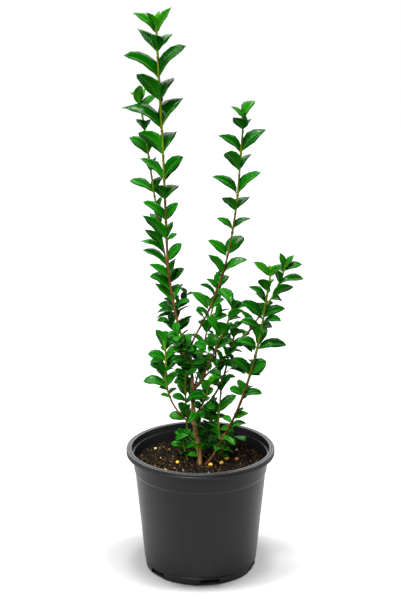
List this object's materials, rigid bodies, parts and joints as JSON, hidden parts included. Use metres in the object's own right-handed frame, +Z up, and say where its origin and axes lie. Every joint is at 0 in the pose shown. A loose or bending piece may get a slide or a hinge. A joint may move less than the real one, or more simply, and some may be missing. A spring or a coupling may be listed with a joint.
{
  "type": "potted privet",
  "caption": "Young evergreen privet with several leafy upright shoots, standing in a round black nursery pot of compost.",
  "frame": {"origin": "centre of the pot's flat underside", "axes": "+Z up, +X to the right and -Y towards the viewer as the picture shows the plant"},
  "size_m": [0.2273, 0.19, 0.7132],
  "materials": {
    "black_plastic": "satin",
    "compost": "rough and crumbly",
    "bark": "matt",
    "foliage": "glossy leaf"
  },
  "bodies": {
    "root": {"pot": "black_plastic", "compost": "compost", "trunk": "bark", "right_stem": "bark", "left_stem": "bark", "leader_bough": "bark", "centre_bough": "bark", "middle_bough": "bark", "low_right_bough": "bark", "inner_bough": "bark", "back_left_bough": "bark", "back_right_bough": "bark", "leader_foliage": "foliage", "second_foliage": "foliage", "centre_foliage": "foliage", "middle_foliage": "foliage", "low_right_foliage": "foliage", "inner_foliage": "foliage", "side_foliage": "foliage", "right_foliage": "foliage", "right_upright_foliage": "foliage", "left_foliage": "foliage", "left_upright_foliage": "foliage", "fork_foliage": "foliage", "back_left_foliage": "foliage", "back_right_foliage": "foliage", "trunk_foliage": "foliage", "basal_left_foliage": "foliage", "basal_right_foliage": "foliage", "basal_back_foliage": "foliage"}
  },
  "joints": []
}
